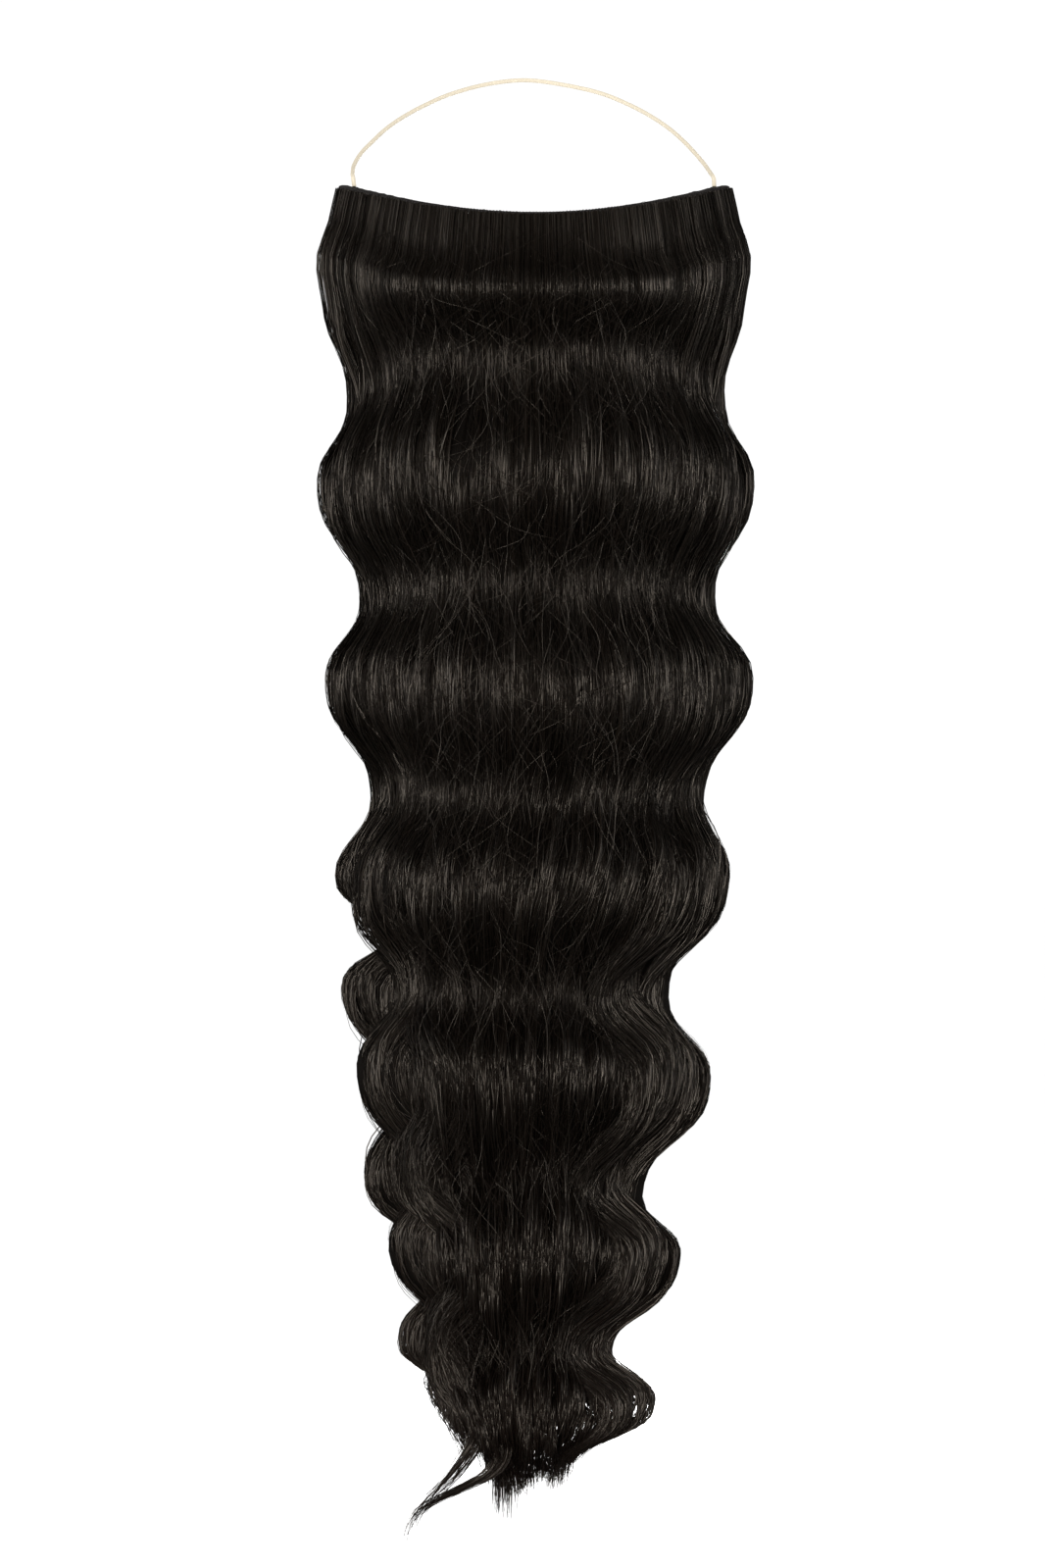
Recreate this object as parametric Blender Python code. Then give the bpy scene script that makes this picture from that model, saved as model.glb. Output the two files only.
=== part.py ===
"""Halo hair extension: a curved weft of long wavy hair on a thin elastic halo cord.

Frame: metres, +Z up, -Y is the hair side, which covers the back of the wearer's head.
The origin is on the axis of the weft's curve, level with the top of the weft's ends.
A level is a distance below the origin, as a share of HAIR_LENGTH. A turn runs along the
weft from its left end at -1, past the back of the head at 0, to its right end at 1.
"""

import math
from collections import namedtuple

import bpy
from mathutils import Matrix, Vector

# Weft: the fabric band that the hair is sewn to, and the rolled seam along its top
WEFT_RADIUS = 0.0915
WEFT_HALF_ANGLE = math.radians(72.0)
WEFT_HEIGHT = 0.024
WEFT_BACK_DIP = 0.017
BAND_THICKNESS = 0.0016
SEAM_HEIGHT = 0.0022
SEAM_OVERHANG = 0.0003
SEAM_ROUNDING = 0.0009
BAND_FACETS = 37

# Hair: its whole length, its thickness as sewn and as it hangs, and the height of its waves
HAIR_LENGTH = 0.612
ROOT_THICKNESS = 0.0034
HAIR_THICKNESS = 0.0105
WAVE_HEIGHT = 0.0122
ROOT_RISE = 0.045
BAND_RELEASE = 0.035
LOCK_GAP = 0.0006
RINGS_PER_LENGTH = 54
TIP_TAPER = 0.060
TIP_SHARE = 0.20

# Halo cord and the sewn tabs that hold its two ends
CORD_DIAMETER = 0.002
CORD_STEP = 0.005
TAB_WIDTH = 0.0052
TAB_THICKNESS = 0.0034
TAB_HEIGHT = 0.013
TAB_INSET = 0.0030
TAB_DROP = 0.0009
TAB_ROUNDING = 0.0008

# Clearance between touching pieces
FIT_GAP = 0.0003

HALF_CHORD = WEFT_RADIUS * math.sin(WEFT_HALF_ANGLE)
WEFT_SAGITTA = WEFT_RADIUS * (1.0 - math.cos(WEFT_HALF_ANGLE))
HAIR_BASE_RADIUS = WEFT_RADIUS + BAND_THICKNESS / 2 + FIT_GAP

# The hanging sheet of hair. It flattens about MEAN_BULGE, a share of the weft's sagitta.
# Centre and width are shares of the half chord, depth is a share of the sagitta, and
# swing is a share of the wave height.
MEAN_BULGE = 0.65
SheetRow = namedtuple("SheetRow", "level centre width depth swing")
SHEET = [
    SheetRow(0.00, 0.000, 1.000, 1.00, 0.62),
    SheetRow(0.07, 0.000, 1.000, 1.00, 0.62),
    SheetRow(0.10, 0.000, 1.000, 1.00, 0.63),
    SheetRow(0.18, 0.012, 1.012, 0.96, 0.66),
    SheetRow(0.27, 0.008, 0.980, 0.90, 0.78),
    SheetRow(0.34, 0.020, 0.970, 0.86, 0.78),
    SheetRow(0.41, 0.026, 0.952, 0.82, 0.78),
    SheetRow(0.50, 0.015, 0.915, 0.76, 0.86),
    SheetRow(0.60, -0.030, 0.850, 0.70, 0.98),
    SheetRow(0.72, -0.080, 0.760, 0.60, 1.00),
    SheetRow(0.85, -0.080, 0.600, 0.48, 1.00),
    SheetRow(1.00, -0.120, 0.400, 0.40, 0.90),
]

# Levels where the hair swings furthest out and in, turn about, first out then in. The
# sides and the middle of the sheet have their own levels.
Swing = namedtuple("Swing", "side middle")
SWINGS = [
    Swing(0.064, 0.085),
    Swing(0.161, 0.133),
    Swing(0.229, 0.223),
    Swing(0.312, 0.302),
    Swing(0.377, 0.380),
    Swing(0.453, 0.460),
    Swing(0.529, 0.526),
    Swing(0.597, 0.610),
    Swing(0.670, 0.667),
    Swing(0.748, 0.747),
    Swing(0.803, 0.803),
    Swing(0.869, 0.870),
    Swing(0.912, 0.925),
    Swing(0.957, 0.975),
    Swing(1.010, 1.020),
]

# Below the sheet, the partings between the locks, from the left edge to the right. A line
# holds shares of the half chord at the four PARTING_LEVELS. Sway is the way that the
# waves run there, in degrees from the front. The sheet splits into locks over
# SPLIT_LEVELS, and a lock comes to its own lag and place behind over the two after it.
PARTING_LEVELS = (0.50, 0.69, 0.86, 1.00)
Parting = namedtuple("Parting", "line sway")
PARTINGS = [
    Parting((-1.06, -0.98, -0.74, -0.60), -90.0),
    Parting((-0.89, -0.82, -0.59, -0.55), -90.0),
    Parting((-0.66, -0.60, -0.44, -0.44), -82.0),
    Parting((-0.44, -0.40, -0.31, -0.33), -54.0),
    Parting((-0.22, -0.20, -0.18, -0.21), -20.0),
    Parting((0.00, -0.03, -0.05, -0.08), 14.0),
    Parting((0.22, 0.16, 0.09, 0.03), 46.0),
    Parting((0.44, 0.35, 0.23, 0.15), 74.0),
    Parting((0.66, 0.55, 0.38, 0.27), 88.0),
    Parting((0.88, 0.77, 0.55, 0.40), 92.0),
]
SPLIT_LEVELS = (0.40, 0.62)
LAG_LEVELS = (0.46, 0.62)
BACK_LEVELS = (0.36, 0.50)

# The locks between the partings, from left to right. Tip is the level where a lock ends,
# lag is how many half waves it trails behind the rest, shift moves it sideways by a share
# of the half chord, and back moves it behind its place by a share of its thickness.
Lock = namedtuple("Lock", "tip lag shift back")
LOCKS = [
    Lock(0.915, 0.88, 0.15, 1.3),
    Lock(0.948, 0.0, 0.0, 0.0),
    Lock(1.000, 0.0, 0.0, 0.0),
    Lock(0.985, 0.0, 0.0, 0.0),
    Lock(0.972, 0.0, 0.0, 0.0),
    Lock(0.965, 0.0, 0.0, 0.0),
    Lock(0.958, 0.0, 0.0, 0.0),
    Lock(0.950, 0.0, 0.0, 0.0),
    Lock(0.942, 0.0, 0.0, 0.0),
]

# A lock's cross-section: across is a share of its half width, and proud runs from its
# inner face at 0 to its outer face at 1.
Corner = namedtuple("Corner", "across proud")
LOCK_SECTION = [
    Corner(-1.00, 0.50),
    Corner(-0.86, 0.12),
    Corner(-0.34, 0.00),
    Corner(0.34, 0.00),
    Corner(0.86, 0.12),
    Corner(1.00, 0.50),
    Corner(0.86, 0.88),
    Corner(0.34, 1.00),
    Corner(-0.34, 1.00),
    Corner(-0.86, 0.88),
]

# Halo cord: the points that its middle line passes, from the left tab to the right
CORD_ROUTE = [
    (-0.0831, -0.0301, -0.0006),
    (-0.0836, -0.0288, 0.0034),
    (-0.0840, -0.0226, 0.0060),
    (-0.0836, -0.0085, 0.0112),
    (-0.0806, 0.0064, 0.0180),
    (-0.0755, 0.0200, 0.0247),
    (-0.0698, 0.0335, 0.0314),
    (-0.0622, 0.0470, 0.0381),
    (-0.0522, 0.0606, 0.0449),
    (-0.0396, 0.0745, 0.0517),
    (-0.0222, 0.0862, 0.0575),
    (-0.0050, 0.0905, 0.0598),
    (0.0110, 0.0868, 0.0578),
    (0.0312, 0.0758, 0.0524),
    (0.0460, 0.0610, 0.0450),
    (0.0562, 0.0470, 0.0381),
    (0.0640, 0.0335, 0.0314),
    (0.0700, 0.0200, 0.0247),
    (0.0750, 0.0064, 0.0180),
    (0.0794, -0.0080, 0.0112),
    (0.0818, -0.0222, 0.0060),
    (0.0829, -0.0288, 0.0034),
    (0.0831, -0.0301, -0.0006),
]


def clear_scene():
    for item in list(bpy.data.objects):
        bpy.data.objects.remove(item, do_unlink=True)


def smoothstep(low, high, value):
    """Rises smoothly from 0 at low to 1 at high."""
    share = min(1.0, max(0.0, (value - low) / (high - low)))
    return share * share * (3.0 - 2.0 * share)


def mix(first, second, share):
    return first + (second - first) * share


def curve_through(places, values, place):
    """Reads a smooth curve through the values at the given places, straight on past its ends."""
    last = len(places) - 1

    def slope(k):
        low, high = max(0, k - 1), min(last, k + 1)
        return (values[high] - values[low]) / (places[high] - places[low])

    if place <= places[0]:
        return values[0] + slope(0) * (place - places[0])
    if place >= places[last]:
        return values[last] + slope(last) * (place - places[last])
    i = max(k for k in range(last) if places[k] <= place)
    span = places[i + 1] - places[i]
    share = (place - places[i]) / span
    start, end = slope(i) * span, slope(i + 1) * span
    squared, cubed = share**2, share**3
    return (
        (2 * cubed - 3 * squared + 1) * values[i]
        + (cubed - 2 * squared + share) * start
        + (3 * squared - 2 * cubed) * values[i + 1]
        + (cubed - squared) * end
    )


def sheet_value(column, level):
    return curve_through([row.level for row in SHEET], [getattr(row, column) for row in SHEET], level)


def weft_angle(turn):
    return turn * WEFT_HALF_ANGLE


def weft_top(turn):
    """Height of the weft's top edge, which dips towards the back of the head."""
    share = math.sin(weft_angle(turn)) / math.sin(WEFT_HALF_ANGLE)
    return -WEFT_BACK_DIP * (1.0 - share**2)


def weft_place(turn, radius, height):
    angle = weft_angle(turn)
    return Vector((radius * math.sin(angle), -radius * math.cos(angle), height))


def wave_phase(turn, level):
    """Half waves past the first outward swing at this level, blended from middle to side."""
    side_share = smoothstep(0.35, 0.95, abs(turn))
    levels = [mix(row.middle, row.side, side_share) for row in SWINGS]
    i = max((k for k in range(len(levels) - 1) if levels[k] <= level), default=0)
    return i + (level - levels[i]) / (levels[i + 1] - levels[i])


def sheet_middle(turn, level):
    """Where a strand of the sheet hangs with its waves left out, seen from above."""
    angle = weft_angle(turn)
    half_width = HALF_CHORD * sheet_value("width", level)
    depth = WEFT_SAGITTA * sheet_value("depth", level)
    bulge = (math.cos(angle) - math.cos(WEFT_HALF_ANGLE)) / (1.0 - math.cos(WEFT_HALF_ANGLE))
    weft_middle = -WEFT_RADIUS * math.cos(WEFT_HALF_ANGLE) - MEAN_BULGE * WEFT_SAGITTA
    x = HALF_CHORD * sheet_value("centre", level) + half_width * math.sin(angle) / math.sin(WEFT_HALF_ANGLE)
    y = weft_middle - depth * (bulge - MEAN_BULGE)
    grow = HAIR_BASE_RADIUS / WEFT_RADIUS
    return x * grow, y * grow


def lock_turn(index):
    return (2 * index + 1) / len(LOCKS) - 1.0


def parting_value(values, turn):
    turns = [2 * k / (len(PARTINGS) - 1) - 1.0 for k in range(len(PARTINGS))]
    return curve_through(turns, values, turn)


def hair_middle(turn, level):
    """The middle of the hair's thickness with its waves left out, seen from above."""
    x, y = sheet_middle(turn, level)
    lines = [HALF_CHORD * curve_through(PARTING_LEVELS, parting.line, level) for parting in PARTINGS]
    return mix(x, parting_value(lines, turn), smoothstep(*SPLIT_LEVELS, level)), y


def hair_facing(turn, level):
    """The way that the hair's outer face looks, as an angle from the front."""
    step = 0.02
    before, after = hair_middle(turn - step, level), hair_middle(turn + step, level)
    return math.atan2(after[1] - before[1], after[0] - before[0])


def hair_place(index, across, proud, level):
    """A point of lock number index: across its width, through its thickness, at a level."""
    lock = LOCKS[index]
    tile = 1.0 / len(LOCKS)
    split = smoothstep(*SPLIT_LEVELS, level)
    left_over = lock.tip - level
    taper = mix(TIP_SHARE, 1.0, math.sqrt(smoothstep(0.0, TIP_TAPER, left_over)))
    reach = across * tile * taper
    turn = lock_turn(index) + reach
    x, y = hair_middle(turn, level)
    facing = hair_facing(turn, level)
    apart = across * LOCK_GAP / 2
    x += lock.shift * split * HALF_CHORD - apart * math.cos(facing)
    y += lock.back * HAIR_THICKNESS * smoothstep(*BACK_LEVELS, level) - apart * math.sin(facing)

    below_top = weft_top(turn) + HAIR_LENGTH * level
    phase = wave_phase(turn, level) + lock.lag * smoothstep(*LAG_LEVELS, level)
    swing = WAVE_HEIGHT * sheet_value("swing", level) * math.cos(math.pi * phase)
    rise = math.sin(min(1.0, below_top / ROOT_RISE) * math.pi / 2)
    swing *= rise
    thickness = mix(ROOT_THICKNESS, HAIR_THICKNESS, rise) * taper
    held = 1.0 - smoothstep(WEFT_HEIGHT, WEFT_HEIGHT + BAND_RELEASE, below_top)
    inner = mix(-thickness / 2, 0.0, held)
    outer = mix(thickness / 2, max(swing, 0.0) + thickness, held)

    sway = parting_value([parting.sway for parting in PARTINGS], turn)
    swing_angle = mix(weft_angle(turn), math.radians(sway), split)
    swing *= 1.0 - held
    body = mix(inner, outer, proud)
    x += swing * math.sin(swing_angle) + body * math.sin(facing)
    y -= swing * math.cos(swing_angle) + body * math.cos(facing)
    return x, y


def make_material(name, colour, roughness):
    material = bpy.data.materials.new(name)
    material.use_nodes = True
    shader = material.node_tree.nodes["Principled BSDF"]
    shader.inputs["Base Color"].default_value = (*colour, 1.0)
    shader.inputs["Roughness"].default_value = roughness
    shader.inputs["Metallic"].default_value = 0.0
    return material


def add_piece(name, data, material):
    piece = bpy.data.objects.new(name, data)
    piece.data.materials.append(material)
    bpy.context.scene.collection.objects.link(piece)
    return piece


def loft(name, rings, material):
    """A closed solid through rings of equal length, with a face across each end."""
    mesh = bpy.data.meshes.new(name)
    count = len(rings[0])
    faces = [tuple(reversed(range(count)))]
    for i in range(len(rings) - 1):
        for k in range(count):
            after = (k + 1) % count
            low, high = i * count, (i + 1) * count
            faces.append((low + k, low + after, high + after, high + k))
    last = (len(rings) - 1) * count
    faces.append(tuple(range(last, last + count)))
    mesh.from_pydata([tuple(p) for ring in rings for p in ring], [], faces)
    mesh.validate()
    piece = add_piece(name, mesh, material)
    mesh.shade_smooth()
    mesh.set_sharp_from_angle(angle=math.radians(50.0))
    return piece


def lock_levels(index):
    """The levels of a lock's rings. Neighbours share them, so their sides stay apart."""
    lowest_root = (WEFT_BACK_DIP + SEAM_HEIGHT + FIT_GAP) / HAIR_LENGTH
    shortest_step = 0.25
    first = math.ceil(lowest_root * RINGS_PER_LENGTH + shortest_step)
    last = math.floor(LOCKS[index].tip * RINGS_PER_LENGTH - shortest_step)
    return [step / RINGS_PER_LENGTH for step in range(first, last + 1)] + [LOCKS[index].tip]


def make_hair_lock(index, material):
    """One lock, from the underside of the seam down to its tip."""
    tile = 1.0 / len(LOCKS)
    rings = []
    for level in [None] + lock_levels(index):
        ring = []
        for corner in LOCK_SECTION:
            root = weft_top(lock_turn(index) + corner.across * tile) - SEAM_HEIGHT - FIT_GAP
            z = root if level is None else -HAIR_LENGTH * level
            x, y = hair_place(index, corner.across, corner.proud, -z / HAIR_LENGTH)
            ring.append((x, y, z))
        rings.append(ring)
    return loft(f"hair_lock_{index + 1}", rings, material)


def weft_strip(name, profile, material):
    """A strip along the whole weft. The profile is (radius, height below the top edge)."""
    rings = []
    for step in range(BAND_FACETS + 1):
        turn = 2 * step / BAND_FACETS - 1.0
        rings.append([weft_place(turn, radius, weft_top(turn) - below) for radius, below in profile])
    return loft(name, rings, material)


def make_weft_band(material):
    inner, outer = WEFT_RADIUS - BAND_THICKNESS / 2, WEFT_RADIUS + BAND_THICKNESS / 2
    top, bottom = SEAM_HEIGHT + FIT_GAP, WEFT_HEIGHT
    return weft_strip("weft_band", [(inner, top), (outer, top), (outer, bottom), (inner, bottom)], material)


def make_weft_seam(material):
    """The rolled edge that closes the top of the band and of the hair's roots."""
    inner = WEFT_RADIUS - BAND_THICKNESS / 2 - SEAM_OVERHANG
    outer = HAIR_BASE_RADIUS + ROOT_THICKNESS + SEAM_OVERHANG
    profile = [
        (inner, SEAM_ROUNDING),
        (inner + SEAM_ROUNDING, 0.0),
        (outer - SEAM_ROUNDING, 0.0),
        (outer, SEAM_ROUNDING),
        (outer, SEAM_HEIGHT),
        (inner, SEAM_HEIGHT),
    ]
    return weft_strip("weft_seam", profile, material)


def tab_angle(side):
    return side * (WEFT_HALF_ANGLE - TAB_INSET / WEFT_RADIUS)


def tab_radius():
    return WEFT_RADIUS - BAND_THICKNESS / 2 - SEAM_OVERHANG - FIT_GAP - TAB_THICKNESS / 2


def make_cord_tab(name, side, material):
    """The folded tab sewn inside one end of the weft, with the cord's end shut in it."""
    angle = tab_angle(side)
    top = weft_top(side) - TAB_DROP
    bpy.ops.mesh.primitive_cube_add(size=1.0)
    tab = bpy.context.object
    tab.name = name
    tab.data.name = name
    tab.data.transform(Matrix.Diagonal((TAB_WIDTH, TAB_THICKNESS, TAB_HEIGHT, 1.0)))
    tab.rotation_euler = (0.0, 0.0, angle)
    tab.location = (
        tab_radius() * math.sin(angle),
        -tab_radius() * math.cos(angle),
        top - TAB_HEIGHT / 2,
    )
    tab.data.materials.append(material)
    bevel = tab.modifiers.new("rounded_edges", "BEVEL")
    bevel.width = TAB_ROUNDING
    bevel.segments = 2
    return tab


def make_halo_cord(material):
    """The elastic cord that goes round the front of the head from tab to tab."""
    route = [Vector(point) for point in CORD_ROUTE]
    lengths = [0.0]
    for before, after in zip(route, route[1:]):
        lengths.append(lengths[-1] + (after - before).length)
    count = round(lengths[-1] / CORD_STEP)
    points = []
    for step in range(count + 1):
        place = lengths[-1] * step / count
        points.append([curve_through(lengths, column, place) for column in zip(*route)])
    curve = bpy.data.curves.new("halo_cord", "CURVE")
    curve.dimensions = "3D"
    curve.bevel_depth = CORD_DIAMETER / 2
    curve.bevel_resolution = 2
    curve.use_fill_caps = True
    spline = curve.splines.new("POLY")
    spline.points.add(len(points) - 1)
    for target, point in zip(spline.points, points):
        target.co = (*point, 1.0)
    return add_piece("halo_cord", curve, material)


def main():
    clear_scene()
    hair = make_material("brown_black_hair", (0.011, 0.008, 0.0065), 0.38)
    fabric = make_material("dark_weft_fabric", (0.013, 0.010, 0.009), 0.85)
    seam = make_material("dark_weft_thread", (0.012, 0.010, 0.009), 0.75)
    elastic = make_material("cream_elastic", (0.80, 0.69, 0.49), 0.60)
    make_weft_band(fabric)
    make_weft_seam(seam)
    for index in range(len(LOCKS)):
        make_hair_lock(index, hair)
    make_cord_tab("cord_tab_left", -1, fabric)
    make_cord_tab("cord_tab_right", 1, fabric)
    make_halo_cord(elastic)


main()
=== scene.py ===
"""A halo hair extension: long wavy hair sewn to a curved weft, worn on a thin elastic cord."""

import math

import bpy
import numpy as np
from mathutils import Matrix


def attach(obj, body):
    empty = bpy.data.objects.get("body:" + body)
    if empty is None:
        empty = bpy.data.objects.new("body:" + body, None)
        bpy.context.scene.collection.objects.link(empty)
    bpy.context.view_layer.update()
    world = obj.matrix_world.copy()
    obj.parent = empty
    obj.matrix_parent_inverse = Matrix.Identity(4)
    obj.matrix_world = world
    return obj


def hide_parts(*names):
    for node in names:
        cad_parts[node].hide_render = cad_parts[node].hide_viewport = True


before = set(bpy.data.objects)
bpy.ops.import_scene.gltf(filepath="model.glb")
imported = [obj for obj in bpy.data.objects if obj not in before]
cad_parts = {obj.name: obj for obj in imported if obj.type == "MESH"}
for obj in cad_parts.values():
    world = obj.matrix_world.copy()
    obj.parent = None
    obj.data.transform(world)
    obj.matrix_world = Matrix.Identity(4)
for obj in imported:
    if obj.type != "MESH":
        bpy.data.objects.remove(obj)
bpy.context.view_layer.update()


# The photographer's view: level with the middle of the hair, square to the back of the
# head, through a long lens.
camera_data = bpy.data.cameras.new("camera")
camera_data.lens = 172.6
camera_data.sensor_width = 36.0
camera = bpy.data.objects.new("camera", camera_data)
camera.location = (-0.0054, -3.5, -0.2763)
camera.rotation_euler = (math.radians(90.0), 0.0, 0.0)
bpy.context.scene.collection.objects.link(camera)
bpy.context.scene.camera = camera


# The halo cord: a rubber core under a tight cream braid, 2 mm thick. It comes up out of
# the tab at one end of the weft, passes round the front of the head and goes down into
# the other tab. The braid's yarns are modelled, and the grooves between them have painted
# shade: the cream is a little darker there than on the yarns' crests.
CORD_DIAMETER = 0.002
CORD_ROUTE = [
    (-0.0831, -0.0301, -0.0006),
    (-0.0836, -0.0288, 0.0034),
    (-0.0840, -0.0226, 0.0060),
    (-0.0836, -0.0085, 0.0112),
    (-0.0806, 0.0064, 0.0180),
    (-0.0755, 0.0200, 0.0247),
    (-0.0698, 0.0335, 0.0314),
    (-0.0622, 0.0470, 0.0381),
    (-0.0522, 0.0606, 0.0449),
    (-0.0396, 0.0745, 0.0517),
    (-0.0222, 0.0862, 0.0575),
    (-0.0050, 0.0905, 0.0598),
    (0.0110, 0.0868, 0.0578),
    (0.0312, 0.0758, 0.0524),
    (0.0460, 0.0610, 0.0450),
    (0.0562, 0.0470, 0.0381),
    (0.0640, 0.0335, 0.0314),
    (0.0700, 0.0200, 0.0247),
    (0.0750, 0.0064, 0.0180),
    (0.0794, -0.0080, 0.0112),
    (0.0818, -0.0222, 0.0060),
    (0.0829, -0.0288, 0.0034),
    (0.0831, -0.0301, -0.0006),
]
CORD_RING_STEP = 0.00032
CORD_SIDES = 16
BRAID_PITCH = 0.0105
BRAID_YARNS = 8
BRAID_RELIEF = 0.03


def through(places, values, at):
    """Reads a smooth curve through values at the given places, straight on past its ends."""
    places, values = np.asarray(places, float), np.asarray(values, float)
    low = np.maximum(np.arange(len(places)) - 1, 0)
    high = np.minimum(np.arange(len(places)) + 1, len(places) - 1)
    slopes = ((values[high] - values[low]).T / (places[high] - places[low])).T
    at = np.asarray(at, float)
    i = np.clip(np.searchsorted(places, at, side="right") - 1, 0, len(places) - 2)
    span = places[i + 1] - places[i]
    inside = np.clip((at - places[i]) / span, 0.0, 1.0)
    past = at - np.clip(at, places[0], places[-1])
    if values.ndim > 1:
        span, inside, past = span[..., None], inside[..., None], past[..., None]
    before = 2 * inside**3 - 3 * inside**2 + 1
    leave = (inside**3 - 2 * inside**2 + inside) * span
    arrive = (inside**3 - inside**2) * span
    smooth = before * values[i] + leave * slopes[i]
    smooth = smooth + (1 - before) * values[i + 1] + arrive * slopes[i + 1]
    return smooth + past * np.where(past < 0, slopes[0], slopes[-1])


def unit(vectors):
    return vectors / np.maximum(np.linalg.norm(vectors, axis=-1, keepdims=True), 1e-12)


def mesh_piece(name, points, quads, material, uv=None, values=None, normals=None):
    """A piece from arrays: points, four corners a face, and what its material reads."""
    mesh = bpy.data.meshes.new(name)
    mesh.vertices.add(len(points))
    mesh.vertices.foreach_set("co", np.ascontiguousarray(points, dtype=np.float32).ravel())
    mesh.loops.add(quads.size)
    mesh.loops.foreach_set("vertex_index", quads.astype(np.int32).ravel())
    mesh.polygons.add(len(quads))
    mesh.polygons.foreach_set("loop_start", np.arange(len(quads), dtype=np.int32) * 4)
    mesh.update(calc_edges=True)
    mesh.polygons.foreach_set("use_smooth", np.ones(len(quads), dtype=bool))
    if uv is not None:
        layer = mesh.uv_layers.new(name="UVMap")
        layer.data.foreach_set("uv", uv[quads.ravel()].astype(np.float32).ravel())
    for key, column in (values or {}).items():
        attribute = mesh.attributes.new(key, "FLOAT", "POINT")
        attribute.data.foreach_set("value", column.astype(np.float32))
    if normals is not None:
        mesh.normals_split_custom_set_from_vertices(normals.tolist())
    mesh.materials.append(material)
    piece = bpy.data.objects.new(name, mesh)
    bpy.context.scene.collection.objects.link(piece)
    return piece


def ring_quads(rings, sides, closed=True):
    """The faces of a tube of rings, or of a strip where it isn't closed round."""
    strips = sides if closed else sides - 1
    ring, side = np.meshgrid(np.arange(rings - 1), np.arange(strips), indexing="ij")
    after = (side + 1) % sides
    near, far = ring * sides, (ring + 1) * sides
    return np.stack([near + side, near + after, far + after, far + side], axis=-1).reshape(-1, 4)


def tube_frames(path):
    """Two directions across a path, carried along it without twisting."""
    tangent = unit(np.gradient(path, axis=0))
    across = np.empty_like(tangent)
    aside = (1.0, 0.0, 0.0) if abs(tangent[0][0]) < 0.8 else (0.0, 1.0, 0.0)
    across[0] = unit(np.cross(tangent[0], aside))
    for k in range(1, len(path)):
        across[k] = unit(across[k - 1] - tangent[k] * np.dot(across[k - 1], tangent[k]))
    return across, np.cross(tangent, across)


def ring_angles(sides):
    return np.arange(sides) / sides * 2 * math.pi


def ring_spokes(path, angles):
    """Directions from the points of a path to the rings round them."""
    across, over = tube_frames(path)
    return across[:, None] * np.cos(angles)[:, None] + over[:, None] * np.sin(angles)[:, None]


class Signal:
    """A shader socket that takes part in sums and products."""

    def __init__(self, tree, socket):
        self.tree = tree
        self.socket = socket

    def maths(self, operation, *others):
        return node(self.tree, "Math", {"operation": operation}, [self, *others])

    def __add__(self, other):
        return self.maths("ADD", other)

    __radd__ = __add__

    def __mul__(self, other):
        return self.maths("MULTIPLY", other)

    def __pow__(self, other):
        return self.maths("POWER", other)


def node(tree, kind, settings=None, inputs=(), output=0):
    """Adds one node: its settings first, then the values or links of its sockets."""
    made = tree.nodes.new("ShaderNode" + kind)
    for key, value in (settings or {}).items():
        setattr(made, key, value)
    entries = inputs.items() if isinstance(inputs, dict) else enumerate(inputs)
    for key, value in entries:
        if isinstance(value, Signal):
            tree.links.new(value.socket, made.inputs[key])
        elif value is not None:
            made.inputs[key].default_value = value
    return Signal(tree, made.outputs[output])


def blend_colours(tree, share, first, second):
    """Sockets 6 and 7 of a Mix node are its two colours, and its third output is the blend."""
    return node(tree, "Mix", {"data_type": "RGBA"}, {0: share, 6: first, 7: second}, output=2)


def principled(name, **sockets):
    """A material with a Principled shader. Returns it, its tree and its shader."""
    material = bpy.data.materials.new(name)
    material.use_nodes = True
    shader = material.node_tree.nodes["Principled BSDF"]
    for key, value in sockets.items():
        shader.inputs[key.replace("_", " ")].default_value = value
    return material, material.node_tree, shader


def feed(shader, **signals):
    for key, signal in signals.items():
        signal.tree.links.new(signal.socket, shader.inputs[key.replace("_", " ")])


cream, tree, shader = principled("cream_elastic_braid", Roughness=0.62)
groove_shade = node(tree, "Attribute", {"attribute_name": "groove_shade"}, output="Fac")
place = node(tree, "TexCoord", output="Object")
fuzz = node(tree, "TexNoise", inputs={"Vector": place, "Scale": 900.0, "Detail": 3.0})
soil = node(tree, "TexNoise", inputs={"Vector": place, "Scale": 26.0, "Detail": 2.0})
# Painted shade: the cream is darker in the braid's grooves and lighter on the yarns' crests.
tint = blend_colours(tree, groove_shade, (0.585, 0.52, 0.405, 1.0), (0.625, 0.56, 0.435, 1.0))
tint = blend_colours(tree, soil * 0.25, tint, (0.62, 0.52, 0.36, 1.0))
feed(shader, Base_Color=tint)
feed(shader, Roughness=0.5 + fuzz * 0.25)
feed(shader, Normal=node(tree, "Bump", inputs={"Strength": 0.15, "Distance": 0.0001, "Height": fuzz}))

route = np.array(CORD_ROUTE)
distance = np.concatenate([[0.0], np.cumsum(np.linalg.norm(np.diff(route, axis=0), axis=1))])
ring_count = round(distance[-1] / CORD_RING_STEP)
cord_path = through(distance, route, np.linspace(0.0, distance[-1], ring_count))
cord_length = float(np.linalg.norm(np.diff(cord_path, axis=0), axis=1).sum())
turn_round = ring_angles(CORD_SIDES)
run = np.linspace(0.0, cord_length, ring_count)[:, None]
twist = 2 * math.pi * run / BRAID_PITCH
one_way = np.cos(BRAID_YARNS / 2 * turn_round + twist)
other_way = np.cos(BRAID_YARNS / 2 * turn_round - twist)
yarn_height = np.maximum(one_way, other_way)
cord_radius = CORD_DIAMETER / 2 * (1.0 - BRAID_RELIEF * (1.0 - yarn_height) / 2)
cord_points = cord_path[:, None] + ring_spokes(cord_path, turn_round) * cord_radius[..., None]
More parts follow.
